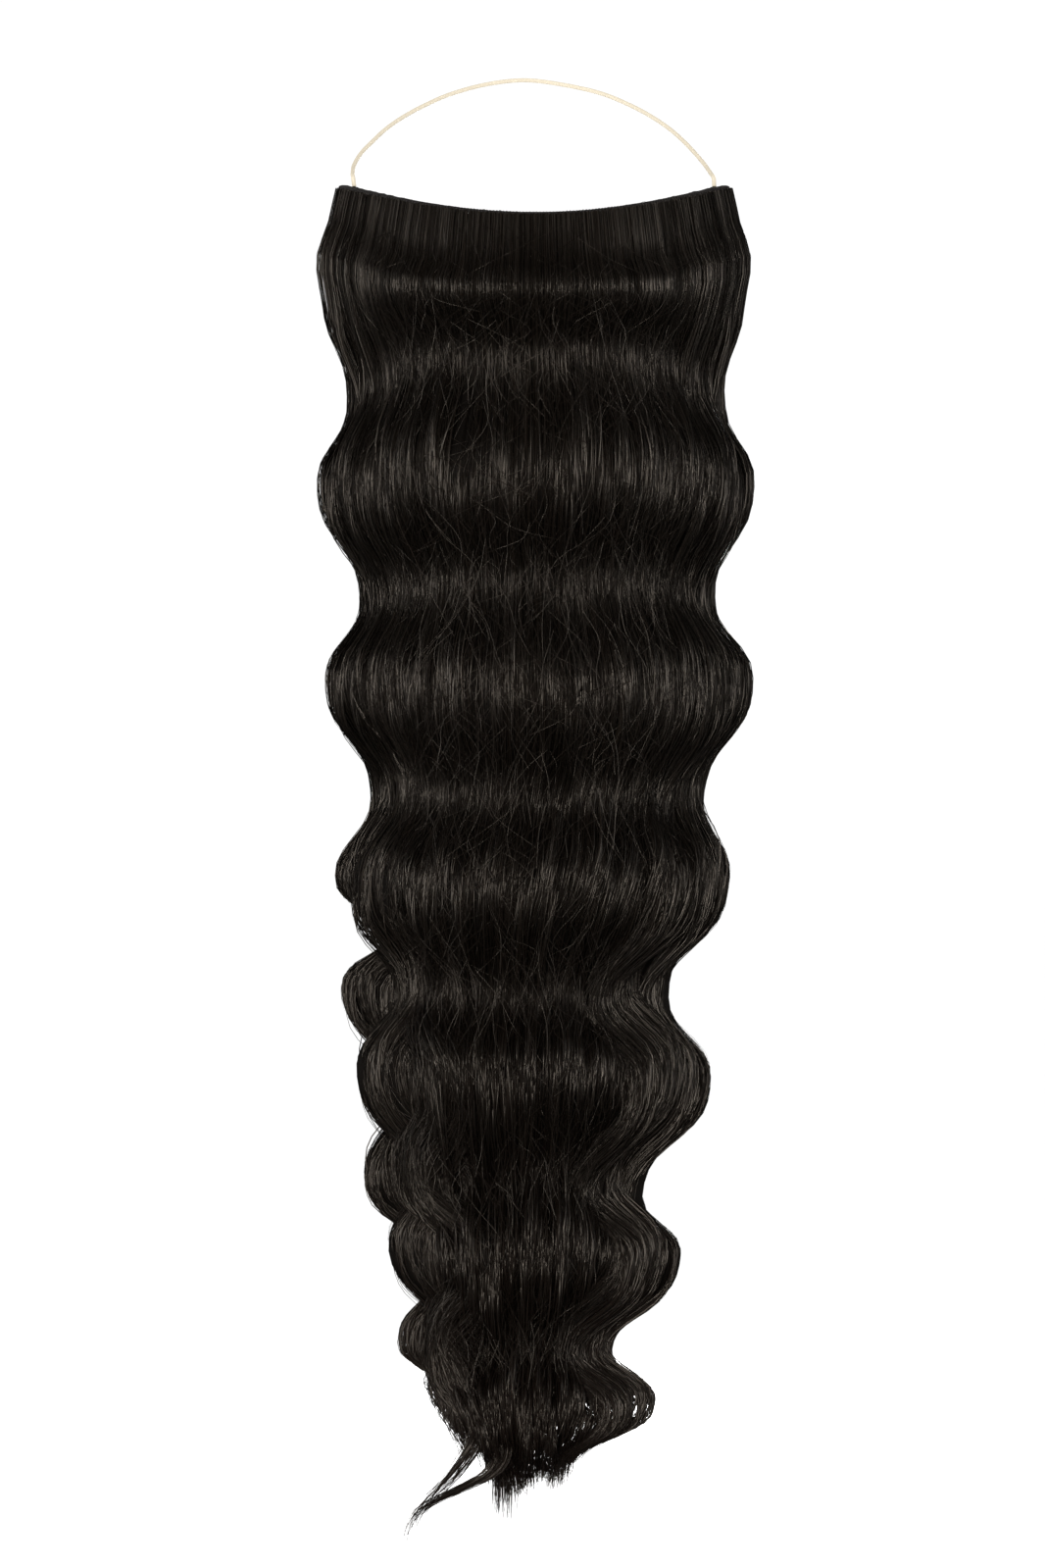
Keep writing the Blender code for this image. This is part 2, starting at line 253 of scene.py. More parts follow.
cord_quads = ring_quads(ring_count, CORD_SIDES)
# The share for the painted groove shade: 1 on the yarns' crests, lower in the grooves between them.
cord = mesh_piece(
    "braided_halo_cord", cord_points.reshape(-1, 3), cord_quads, cream,
    values={"groove_shade": (0.5 + yarn_height / 2).ravel() ** 2},
)
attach(cord, "root")
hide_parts("halo_cord")
[tuple(point) for point in cord_path[::8]] + [tuple(cord_path[-1])]


# The weft's tape: a dark woven band, bent round the back of the head and dipping in the
# middle. Its edges are turned in and stitched, and four zigzag rows hold the hair's roots
# to it.
WEFT_RADIUS = 0.0915
WEFT_HALF_ANGLE = math.radians(72.0)
WEFT_HEIGHT = 0.024
WEFT_BACK_DIP = 0.017
BAND_THICKNESS = 0.0016
SEAM_HEIGHT = 0.0022
FIT_GAP = 0.0003
HEM_WIDTH = 0.0028
HEM_RISE = 0.0003
TAPE_INSET = 0.0002
PUCKER_SIZE = 0.00018
PUCKER_RATE = 190.0
PUCKER_REACH = 0.0012
SHARP_EDGE = math.radians(60.0)


def weft_angle(turn):
    return turn * WEFT_HALF_ANGLE


def weft_top(turn):
    share = np.sin(weft_angle(turn)) / math.sin(WEFT_HALF_ANGLE)
    return -WEFT_BACK_DIP * (1.0 - share**2)


def bend_to_weft(turn, radius, below):
    """Points at a turn, a radius and a depth below the weft's top edge."""
    angle = weft_angle(turn)
    return np.stack([radius * np.sin(angle), -radius * np.cos(angle), weft_top(turn) - below], axis=-1)


def vertices(piece):
    points = np.empty(len(piece.data.vertices) * 3)
    piece.data.vertices.foreach_get("co", points)
    return points.reshape(-1, 3)


def set_vertices(piece, points):
    piece.data.vertices.foreach_set("co", np.ascontiguousarray(points, dtype=np.float32).ravel())
    piece.data.update()


def set_uv(piece, places):
    """Names the piece's UV map, and fills it from one place for each vertex."""
    layer = piece.data.uv_layers[0]
    layer.name = "UVMap"
    corners = np.empty(len(piece.data.loops), dtype=np.int32)
    piece.data.loops.foreach_get("vertex_index", corners)
    layer.data.foreach_set("uv", places[corners].astype(np.float32).ravel())


def select_only(piece):
    bpy.ops.object.select_all(action="DESELECT")
    bpy.context.view_layer.objects.active = piece
    piece.select_set(True)


def finish_modifier(piece, kind, **settings):
    """Adds a modifier to the piece and applies it."""
    select_only(piece)
    modifier = piece.modifiers.new(kind.lower(), kind)
    for key, value in settings.items():
        setattr(modifier, key, value)
    bpy.ops.object.modifier_apply(modifier=modifier.name)


tape_cloth, tree, shader = principled("dark_woven_tape", Roughness=0.8, Specular_IOR_Level=0.25)
place = node(tree, "UVMap", {"uv_map": "UVMap"})
yarns = {"Vector": place, "Scale": 260.0, "Distortion": 0.3}
warp = node(tree, "TexWave", {"bands_direction": "X"}, yarns)
filling = node(tree, "TexWave", {"bands_direction": "Y"}, yarns)
weave = warp.maths("MAXIMUM", filling)
patch = node(tree, "TexNoise", inputs={"Vector": place, "Scale": 45.0, "Detail": 3.0})
cloth = blend_colours(tree, weave, (0.004, 0.0032, 0.003, 1.0), (0.018, 0.0145, 0.013, 1.0))
feed(shader, Base_Color=blend_colours(tree, patch * 0.5, cloth, (0.010, 0.0075, 0.006, 1.0)))
feed(shader, Roughness=0.68 + patch * 0.25)
feed(shader, Normal=node(tree, "Bump", inputs={"Strength": 0.6, "Distance": 0.0002, "Height": weave}))

bpy.ops.object.select_all(action="DESELECT")
bpy.ops.mesh.primitive_grid_add(x_subdivisions=150, y_subdivisions=16, size=2.0)
tape = bpy.context.object
tape.name = "weft_tape"
flat = vertices(tape)
tape_turn = flat[:, 0]
tape_below = SEAM_HEIGHT + FIT_GAP + (1.0 - flat[:, 1]) / 2 * (WEFT_HEIGHT - SEAM_HEIGHT - FIT_GAP)
to_hem = np.minimum(tape_below - SEAM_HEIGHT, WEFT_HEIGHT - tape_below)
near_hem = np.exp(-((to_hem - HEM_WIDTH) / PUCKER_REACH) ** 2)
pucker = PUCKER_SIZE * np.sin(tape_turn * PUCKER_RATE) * near_hem
tape_radius = WEFT_RADIUS - BAND_THICKNESS / 2 + TAPE_INSET - HEM_RISE * (to_hem < HEM_WIDTH) + pucker
set_vertices(tape, bend_to_weft(tape_turn, tape_radius, tape_below))
set_uv(tape, np.stack([tape_turn * WEFT_HALF_ANGLE * WEFT_RADIUS, -tape_below], axis=-1))
finish_modifier(tape, "SOLIDIFY", thickness=BAND_THICKNESS - 2 * TAPE_INSET, offset=-1.0, use_rim=True)
finish_modifier(tape, "BEVEL", width=0.0003, segments=2, limit_method="ANGLE", angle_limit=SHARP_EDGE)
tape.data.shade_smooth()
tape.data.materials.append(tape_cloth)
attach(tape, "root")
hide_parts("weft_band")


# The stitching: a matt thread in zigzag rows along the inside of the tape, and a twisted
# overcast thread along the rolled top edge.
THREAD_DIAMETER = 0.00034
THREAD_SIDES = 5
ZIGZAG_STEP = 0.0026
ZIGZAG_ROWS = (0.0042, 0.0098, 0.0155, 0.0210)
ZIGZAG_HEIGHT = 0.0014
ZIGZAG_REACH = 0.985
THREAD_CLEAR = 0.00012
THREAD_ARCH = 0.0002


def thread_tubes(name, paths):
    """Round threads along several paths, joined as one piece."""
    points, quads, count = [], [], 0
    for path in paths:
        spokes = ring_spokes(path, ring_angles(THREAD_SIDES))
        points.append((path[:, None] + spokes * THREAD_DIAMETER / 2).reshape(-1, 3))
        quads.append(ring_quads(len(path), THREAD_SIDES) + count)
        count += len(path) * THREAD_SIDES
    return mesh_piece(name, np.concatenate(points), np.concatenate(quads), thread)


thread, tree, shader = principled("dark_sewing_thread", Roughness=0.55)
place = node(tree, "TexCoord", output="Object")
ply = node(tree, "TexWave", {"bands_direction": "DIAGONAL"}, {"Vector": place, "Scale": 900.0})
plied = blend_colours(tree, ply, (0.007, 0.0055, 0.005, 1.0), (0.035, 0.029, 0.026, 1.0))
feed(shader, Base_Color=plied)
feed(shader, Roughness=0.45 + ply * 0.2)

rng = np.random.default_rng(41)
arc = WEFT_HALF_ANGLE * WEFT_RADIUS
steps = np.arange(int(2 * arc / ZIGZAG_STEP) * 4 + 1) / 4
sideways = np.abs(steps % 2 - 1) - 0.5
over_tape = THREAD_CLEAR + THREAD_ARCH * np.sin(steps * math.pi) ** 2
stitch_turn = np.linspace(-ZIGZAG_REACH, ZIGZAG_REACH, len(steps))
stitch_radius = WEFT_RADIUS - BAND_THICKNESS / 2 - over_tape
stitches = thread_tubes(
    "tape_stitches",
    [bend_to_weft(stitch_turn, stitch_radius, row + sideways * ZIGZAG_HEIGHT) for row in ZIGZAG_ROWS],
)
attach(stitches, "root")


# The rolled top edge, which closes the tape and the hair's roots. It is wrapped all along
# by the overcast thread.
ROLL_OVER_TAPE = 0.0001
ROLL_OVER_ROOTS = 0.0031
ROLL_INNER = WEFT_RADIUS - BAND_THICKNESS / 2 - ROLL_OVER_TAPE
ROLL_OUTER = WEFT_RADIUS + BAND_THICKNESS / 2 + ROLL_OVER_ROOTS
ROLL_REACH = 0.993
ROLL_RINGS = 460
ROLL_SIDES = 14
ROLL_SQUARENESS = 0.7
ROLL_SLIMMEST = 0.86
ROLL_SWELLING = 0.12
ROLL_LUMPS = 150
ROLL_WEAVE = 0.0004
LUMP_SIZE = 0.14
PINCH_DEPTH = 0.10
OVERCAST_STEP = 0.0015
OVERCAST_REACH = 0.988
OVERCAST_CLEAR = 1.01
OVERCAST_SLACK = 0.07
STEPS_A_WRAP = 10

roll_turn = np.linspace(-ROLL_REACH, ROLL_REACH, ROLL_RINGS)
roll_angle = ring_angles(ROLL_SIDES)
pinch = 1.0 - PINCH_DEPTH * np.cos(roll_turn * arc / OVERCAST_STEP * 2 * math.pi)
lumps = rng.normal(0.0, LUMP_SIZE, ROLL_LUMPS)
pinch += through(np.linspace(-1.0, 1.0, ROLL_LUMPS), lumps, roll_turn)
roll_middle = (ROLL_INNER + ROLL_OUTER) / 2
half_width = (ROLL_OUTER - ROLL_INNER) / 2


def squared(wave, power):
    """A cosine or sine, drawn out towards the side of a square."""
    return np.abs(wave) ** power * np.sign(wave)


def roll_section(turn, angle, grow):
    """The roll's flattened oval section."""
    radius = roll_middle + half_width * squared(np.cos(angle), ROLL_SQUARENESS) * grow
    below = SEAM_HEIGHT / 2 - SEAM_HEIGHT / 2 * squared(np.sin(angle), ROLL_SQUARENESS) * grow
    return bend_to_weft(turn, radius, below)


def close_ends(piece):
    """Closes a tube's two open ends and turns its faces outward."""
    select_only(piece)
    bpy.ops.object.mode_set(mode="EDIT")
    bpy.ops.mesh.select_all(action="DESELECT")
    bpy.ops.mesh.select_non_manifold()
    bpy.ops.mesh.edge_face_add()
    bpy.ops.mesh.select_all(action="SELECT")
    bpy.ops.mesh.normals_make_consistent(inside=False)
    bpy.ops.object.mode_set(mode="OBJECT")


thickness = ROLL_SLIMMEST + ROLL_SWELLING * pinch[:, None]
roll_points = roll_section(roll_turn[:, None], roll_angle[None, :], thickness)
roll_uv = np.stack(np.broadcast_arrays(roll_turn[:, None] * arc, roll_angle * ROLL_WEAVE), axis=-1)
roll = mesh_piece(
    "rolled_edge", roll_points.reshape(-1, 3), ring_quads(ROLL_RINGS, ROLL_SIDES), tape_cloth,
    uv=roll_uv.reshape(-1, 2),
)
close_ends(roll)
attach(roll, "root")
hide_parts("weft_seam")

wraps = int(2 * arc / OVERCAST_STEP)
wrap_run = np.linspace(-OVERCAST_REACH, OVERCAST_REACH, wraps * STEPS_A_WRAP + 1)
wrap_angle = np.linspace(0.0, wraps * 2 * math.pi, len(wrap_run))
slack = through(np.linspace(-1.0, 1.0, wraps), rng.exponential(OVERCAST_SLACK, wraps), wrap_run)
wrapping = roll_section(wrap_run, wrap_angle, OVERCAST_CLEAR + slack)
overcast = thread_tubes("overcast_thread", [wrapping])
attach(overcast, "root")


# The cord tabs: short folds of the tape, sewn inside the weft's two ends with a box of
# stitches. The cord's end is shut in the fold and whipped with thread.
TAB_WIDTH = 0.0052
TAB_THICKNESS = 0.0034
TAB_HEIGHT = 0.013
TAB_INSET = 0.0030
TAB_DROP = 0.0009
TAB_SLIMMEST = 0.86
TAB_BULGE = 0.14
TAB_CURVES = (2.6, 2.2)
TAB_CUTS = 7
FOLD_DEPTH = 0.10
FOLD_HEIGHT = 0.18
FOLD_WIDTH = 0.05
TAB_WHIPPING = 5
STEPS_A_TURN = 12
WHIPPING_RISE = (-0.0018, 0.0002)
BOX_LIFT = 0.46
BOX_DIP = 0.00014
BOX_STITCHES = 5
STEPS_A_SIDE = 33

# Corners of the box of stitches and its diagonal, in shares of the tab's width and height
STITCHED_BOX = [(-0.34, -0.40), (0.34, -0.40), (0.34, 0.10), (-0.34, 0.10), (-0.34, -0.40), (0.34, 0.10)]

tab_radius = WEFT_RADIUS - BAND_THICKNESS / 2 - 2 * FIT_GAP - TAB_THICKNESS / 2


def make_tab(name, side):
    """The tab at one end of the weft, with the threads that hold it and the cord."""
    angle = side * (WEFT_HALF_ANGLE - TAB_INSET / WEFT_RADIUS)
    depth = -TAB_DROP - TAB_HEIGHT / 2
    middle = np.array([tab_radius * math.sin(angle), -tab_radius * math.cos(angle), depth])
    along = np.array([math.cos(angle), math.sin(angle), 0.0])
    inward = np.array([-math.sin(angle), math.cos(angle), 0.0])
    up = np.array([0.0, 0.0, 1.0])
    bpy.ops.object.select_all(action="DESELECT")
    bpy.ops.mesh.primitive_cube_add(size=1.0)
    tab = bpy.context.object
    tab.name = f"{name}_fold"
    bpy.ops.object.mode_set(mode="EDIT")
    bpy.ops.mesh.select_all(action="SELECT")
    bpy.ops.mesh.subdivide(number_cuts=TAB_CUTS)
    bpy.ops.object.mode_set(mode="OBJECT")
    finish_modifier(tab, "BEVEL", width=0.12, segments=3, limit_method="ANGLE", angle_limit=SHARP_EDGE)
    flat = vertices(tab)
    arch = np.cos(flat[:, [0, 2]] * TAB_CURVES)
    bulge = TAB_SLIMMEST + TAB_BULGE * arch[:, 0] * arch[:, 1]
    fold_line = FOLD_DEPTH * np.exp(-((flat[:, 2] - FOLD_HEIGHT) / FOLD_WIDTH) ** 2)
    flat[:, 1] *= bulge - fold_line
    flat = flat * (TAB_WIDTH, TAB_THICKNESS, TAB_HEIGHT)
    set_vertices(tab, middle + flat[:, :1] * along + flat[:, 1:2] * inward + flat[:, 2:] * up)
    set_uv(tab, flat[:, [0, 2]] + flat[:, 1:2])
    tab.data.shade_smooth()
    tab.data.materials.append(tape_cloth)
    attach(tab, "root")
    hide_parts(name)

    sew = []
    share = np.linspace(0.0, 1.0, STEPS_A_SIDE)[:, None]
    dip = BOX_DIP * (1 + np.cos(share * 2 * math.pi * BOX_STITCHES))
    for corner, next_corner in zip(STITCHED_BOX, STITCHED_BOX[1:]):
        line = np.array(corner) * (1 - share) + np.array(next_corner) * share
        across, height = line[:, :1] * TAB_WIDTH, line[:, 1:] * TAB_HEIGHT
        sew.append(middle + across * along + (TAB_THICKNESS * BOX_LIFT - dip) * inward + height * up)
    turns = np.linspace(0.0, TAB_WHIPPING * 2 * math.pi, TAB_WHIPPING * STEPS_A_TURN)
    rise = np.linspace(*WHIPPING_RISE, len(turns))
    top = middle + (0.0, 0.0, TAB_HEIGHT / 2)
    grip = CORD_DIAMETER / 2 + THREAD_DIAMETER / 2
    whip = top + grip * (np.cos(turns)[:, None] * along + np.sin(turns)[:, None] * inward)
    sew.append(whip + rise[:, None] * up)
    stitching = thread_tubes(f"{name}_stitches", sew)
    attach(stitching, "root")


make_tab("cord_tab_left", -1)
make_tab("cord_tab_right", 1)


# The hair's form: it hangs as one wavy sheet from the weft, swings out and in together,
# and parts further down into nine locks that wave sideways at the two sides.
HAIR_LENGTH = 0.612
ROOT_THICKNESS = 0.0034
HAIR_THICKNESS = 0.0105
WAVE_HEIGHT = 0.0122
ROOT_RISE = 0.045
BAND_RELEASE = 0.035
HALF_CHORD = WEFT_RADIUS * math.sin(WEFT_HALF_ANGLE)
WEFT_SAGITTA = WEFT_RADIUS * (1.0 - math.cos(WEFT_HALF_ANGLE))
HAIR_BASE_RADIUS = WEFT_RADIUS + BAND_THICKNESS / 2 + FIT_GAP
MEAN_BULGE = 0.65

# Columns: level, centre, width, depth, swing
SHEET = np.array([
    (0.00, 0.000, 1.000, 1.00, 0.62),
    (0.07, 0.000, 1.000, 1.00, 0.62),
    (0.10, 0.000, 1.000, 1.00, 0.63),
    (0.18, 0.012, 1.012, 0.96, 0.66),
    (0.27, 0.008, 0.980, 0.90, 0.78),
    (0.34, 0.020, 0.970, 0.86, 0.78),
    (0.41, 0.026, 0.952, 0.82, 0.78),
    (0.50, 0.015, 0.915, 0.76, 0.86),
    (0.60, -0.030, 0.850, 0.70, 0.98),
    (0.72, -0.080, 0.760, 0.60, 1.00),
    (0.85, -0.080, 0.600, 0.48, 1.00),
    (1.00, -0.120, 0.400, 0.40, 0.90),
])

# Levels of the swings out and in, turn about. Columns: at the sides, in the middle
SWINGS = np.array([
    (0.074, 0.085),
    (0.161, 0.130),
    (0.229, 0.2285),
    (0.312, 0.302),
    (0.377, 0.383),
    (0.453, 0.460),
    (0.529, 0.526),
    (0.597, 0.610),
    (0.670, 0.667),
    (0.748, 0.747),
    (0.803, 0.803),
    (0.869, 0.870),
    (0.912, 0.925),
    (0.957, 0.975),
    (1.010, 1.020),
])

# Partings between the locks at four levels, in shares of the half chord
PARTING_LEVELS = (0.50, 0.69, 0.86, 1.00)
PARTINGS = np.array([
    (-1.06, -0.98, -0.74, -0.60),
    (-0.89, -0.82, -0.59, -0.55),
    (-0.66, -0.60, -0.44, -0.44),
    (-0.44, -0.40, -0.31, -0.33),
    (-0.22, -0.20, -0.18, -0.21),
    (0.00, -0.03, -0.05, -0.08),
    (0.22, 0.16, 0.09, 0.03),
    (0.44, 0.35, 0.23, 0.15),
    (0.66, 0.55, 0.38, 0.27),
    (0.88, 0.77, 0.55, 0.40),
])
SPLIT_LEVELS = (0.40, 0.62)
LAG_LEVELS = (0.50, 0.62)
BACK_LEVELS = (0.36, 0.50)
FORWARD_EASE = 0.14
WAY_EASE = 0.20

# How the waves differ from plain ones: from what turn on the sides have their own levels,
# how much calmer the sides begin, how much deeper one swing of the middle is, and how far
# turns and troughs are flattened
SIDE_TURNS = (0.35, 0.95)
CALM_EDGE = 0.35
CALM_LEVELS = (0.08, 0.15)
DEEP_MIDDLE = 0.28
DEEP_LEVEL = 0.195
DEEP_SPAN = 0.045
FLAT_TURNS = 0.08
SQUARE_SWINGS = 0.03
WIDE_TROUGHS = 0.045

# The grid on which the form is worked out: turns and levels, each as first, last and count
CHART_TURN_RANGE = (-1.12, 1.12, 281)
CHART_LEVEL_RANGE = (-0.01, 1.07, 433)

# Columns: tip level, lag in half waves, shift sideways in half chords, back in thicknesses,
# way of the waves at the left and right edges in degrees, level where they start to turn
# that way, and how far it hangs in front in metres
LOCKS = np.array([
    (0.915, 0.88, 0.15, 1.3, -90.0, -80.0, 0.40, 0.000),
    (0.948, 0.00, 0.03, 0.0, -80.0, -70.0, 0.40, 0.000),
    (1.000, 0.00, 0.00, 0.0, 70.0, 62.0, 0.54, 0.006),
    (0.985, 0.00, 0.00, 0.0, -12.0, -6.0, 0.40, 0.000),
    (0.972, 0.00, 0.00, 0.0, -6.0, 0.0, 0.40, 0.000),
    (0.965, 0.00, 0.00, 0.0, 0.0, 6.0, 0.40, 0.000),
    (0.958, 0.00, 0.00, 0.0, 6.0, 24.0, 0.40, 0.000),
    (0.950, -0.10, 0.00, 0.0, 64.0, 72.0, 0.40, 0.006),
    (0.942, -0.10, 0.00, 0.0, 74.0, 84.0, 0.40, 0.003),
])
LOCK_COUNT = len(LOCKS)


def smoothstep(low, high, value):
    share = np.clip((value - low) / (high - low), 0.0, 1.0)
    return share * share * (3.0 - 2.0 * share)


def mix(first, second, share):
    return first + (second - first) * share


def lock_turn(index):
    return (2 * index + 1) / LOCK_COUNT - 1.0


def chart_of_hair():
    """The hair's middle, facing, wave phase and swing over a grid of turns and levels."""
    turns = np.linspace(*CHART_TURN_RANGE)
    levels = np.linspace(*CHART_LEVEL_RANGE)
    centre, width, depth, swing = through(SHEET[:, 0], SHEET[:, 1:], levels).T
    angle = weft_angle(turns)[:, None]
    bulge = (np.cos(angle) - math.cos(WEFT_HALF_ANGLE)) / (1.0 - math.cos(WEFT_HALF_ANGLE))
    middle = -WEFT_RADIUS * math.cos(WEFT_HALF_ANGLE) - MEAN_BULGE * WEFT_SAGITTA
    grow = HAIR_BASE_RADIUS / WEFT_RADIUS
    x = grow * HALF_CHORD * (centre + width * np.sin(angle) / math.sin(WEFT_HALF_ANGLE))
    y = grow * (middle - WEFT_SAGITTA * depth * (bulge - MEAN_BULGE))
    parting_turns = np.linspace(-1.0, 1.0, len(PARTINGS))
    lines = HALF_CHORD * through(PARTING_LEVELS, PARTINGS.T, levels)
    split = smoothstep(*SPLIT_LEVELS, levels)
    x = mix(x, through(parting_turns, lines.T, turns), split)
    slope_x, slope_y = np.gradient(x, turns, axis=0), np.gradient(y, turns, axis=0)
    facing = np.arctan2(slope_y, slope_x)
    side = smoothstep(*SIDE_TURNS, np.abs(turns))[:, None]
    counts = np.arange(len(SWINGS))
    phase = np.empty((len(turns), len(levels)))
    for k, share in enumerate(side[:, 0]):
        places = mix(SWINGS[:, 1], SWINGS[:, 0], share)
        before = (levels - places[0]) / (places[1] - places[0])
        phase[k] = np.where(levels < places[0], before, np.interp(levels, places, counts))
    swing = swing * (1.0 - CALM_EDGE * side * (1.0 - smoothstep(*CALM_LEVELS, levels)))
    hump = np.exp(-((levels - DEEP_LEVEL) / DEEP_SPAN) ** 2)
    swing = swing * (1.0 + DEEP_MIDDLE * (1.0 - side) * hump)
    return turns, levels, np.stack([x, y, facing, phase, swing], axis=-1)


CHART_TURNS, CHART_LEVELS, CHART = chart_of_hair()


def chart_place(value, marks):
    """Where a value falls between the chart's marks, counted from the first."""
    return np.clip((value - marks[0]) / (marks[1] - marks[0]), 0, len(marks) - 1.001)


def read_chart(turn, level):
    """The chart's five values between its grid points."""
    across = chart_place(turn, CHART_TURNS)
    down = chart_place(level, CHART_LEVELS)
    i, j = across.astype(int), down.astype(int)
    u, v = (across - i)[..., None], (down - j)[..., None]
    upper = CHART[i, j] * (1 - u) + CHART[i + 1, j] * u
    lower = CHART[i, j + 1] * (1 - u) + CHART[i + 1, j + 1] * u
    return np.moveaxis(upper * (1 - v) + lower * v, -1, 0)


def hair_points(lock, turn, proud, level, tilt=0.0, phase_shift=0.0, vigour=1.0):
    """Places strands: the lock they belong to, their turn along the weft, how proud they
    lie from the inner face at 0 to the outer face at 1, and their levels. Gives the points
    and the way that the hair looks there."""
    _, lag, shift, back, left_way, right_way, turning, forward = LOCKS[lock].T[..., None]
    x, y, facing, phase, swing = read_chart(turn, level)
    split = smoothstep(*SPLIT_LEVELS, level)
    x = x + shift * split * HALF_CHORD
    y = y + back * HAIR_THICKNESS * smoothstep(*BACK_LEVELS, level)
    y = y - forward * smoothstep(0.0, FORWARD_EASE, level - turning)
    across = (turn - lock_turn(lock[:, None])) * LOCK_COUNT
    way = np.radians(mix(left_way, right_way, np.clip((across + 1) / 2, 0.0, 1.0)))
    sway = mix(weft_angle(turn), way, smoothstep(0.0, WAY_EASE, level - turning))
    below_top = weft_top(turn) + HAIR_LENGTH * level
    phase = phase + lag * smoothstep(*LAG_LEVELS, level) + phase_shift
    rise = np.sin(np.clip(below_top / ROOT_RISE, 0.0, 1.0) * math.pi / 2)
    flatness = mix(SQUARE_SWINGS, FLAT_TURNS, np.sin(sway) ** 2)
    wave = np.cos(math.pi * phase) - flatness * np.cos(3 * math.pi * phase)
    wave += WIDE_TROUGHS * np.cos(sway) ** 2 * np.cos(2 * math.pi * phase)
    out = WAVE_HEIGHT * vigour * swing * wave * rise
    thickness = mix(ROOT_THICKNESS, HAIR_THICKNESS, rise)
    held = 1.0 - smoothstep(WEFT_HEIGHT, WEFT_HEIGHT + BAND_RELEASE, below_top)
    inner = mix(-thickness / 2, 0.0, held)
    outer = mix(thickness / 2, np.maximum(out, 0.0) + thickness, held)
    out = out * (1.0 - held)
    body = mix(inner, outer, proud)
    x = x + out * np.sin(sway) + body * np.sin(facing)
    y = y - out * np.cos(sway) - body * np.cos(facing)
    look = facing + tilt
    points = np.stack([x, y, -HAIR_LENGTH * level], axis=-1)
    facing_out = np.stack([np.sin(look), -np.cos(look), np.zeros_like(look)], axis=-1)
    return points, facing_out


# The heart of each lock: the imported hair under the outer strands, which stops short of
# the tip. It is grooved all along, as combed hair is.
HEART_RINGS = 90
HEART_SIDES = 28
HEART_INSET = 0.15
HEART_EDGE_INSET = 0.05
HEART_GROOVES = 0.05
HEART_GROOVE_LEVELS = (0.02, 0.2)
HEART_ROOT_WIDTH = 0.97
HEART_FLATNESS = 0.55
HEART_SQUARENESS = (0.35, 0.75)
HEART_CLOSING = 0.05
HEART_BLUNTNESS = 0.1
OUTER_TURNS = (0.80, 0.96)

# Past the sides of its lock a heart lies lower and gets thinner
HEART_PAST_SIDES = (1.0, 1.6)
HEART_LOWER = 0.25
HEART_THINNER = 0.6


def make_hair_shade(name, gloss, roughness):
    """Hair that is near-black brown, redder to its tips, with fine streaks along it."""
    tint = (1.0, 0.86, 0.72, 1.0)
    material, tree, shader = principled(name, Specular_IOR_Level=gloss, Specular_Tint=tint)
    tone = node(tree, "Attribute", {"attribute_name": "tone"}, output="Fac")
    along = node(tree, "Attribute", {"attribute_name": "along"}, output="Fac")
    place = node(tree, "UVMap", {"uv_map": "UVMap"})
    streak = node(tree, "TexNoise", inputs={"Vector": place, "Scale": 1.0, "Detail": 4.0, "Roughness": 0.6})
    dark = blend_colours(tree, tone, (0.0005, 0.0003, 0.0002, 1.0), (0.0095, 0.0062, 0.0041, 1.0))
    warm = blend_colours(tree, (along ** 3.0) * 0.4, dark, (0.0130, 0.0062, 0.0045, 1.0))
    feed(shader, Base_Color=blend_colours(tree, streak * 0.5, warm, (0.0016, 0.0012, 0.0008, 1.0)))
    feed(shader, Roughness=roughness + tone * 0.08 + streak * 0.10)
    feed(shader, Normal=node(tree, "Bump", inputs={"Strength": 0.35, "Distance": 0.0001, "Height": streak}))
    return material


hair_shade = make_hair_shade("brown_black_hair", 0.84, 0.27)
dull_shade = make_hair_shade("brown_black_hair_in_shade", 0.18, 0.40)

heart_shade, tree, shader = principled(
    "packed_hair", Specular_IOR_Level=0.10, Specular_Tint=(1.0, 0.86, 0.76, 1.0)
)
place = node(tree, "UVMap", {"uv_map": "UVMap"})
streak = node(tree, "TexNoise", inputs={"Vector": place, "Scale": 1.0, "Detail": 5.0, "Roughness": 0.65})
packed = blend_colours(tree, streak, (0.0010, 0.0008, 0.0006, 1.0), (0.0032, 0.0025, 0.0020, 1.0))
feed(shader, Base_Color=packed)
feed(shader, Roughness=0.5 + streak * 0.3)
feed(shader, Normal=node(tree, "Bump", inputs={"Strength": 0.5, "Distance": 0.0003, "Height": streak}))


# Columns: how far a heart reaches left and right in half widths of its lock, and its tip
HEARTS = [
    (0.94, 2.30, 0.888),
    (0.94, 1.90, 0.900),
    (0.94, 0.94, 0.900),
    (2.20, 0.94, 0.930),
    (0.94, 0.94, 0.925),
    (0.94, 0.94, 0.940),
    (0.94, 2.00, 0.938),
    (0.94, 0.94, 0.915),
    (0.94, 0.96, 0.890),
]


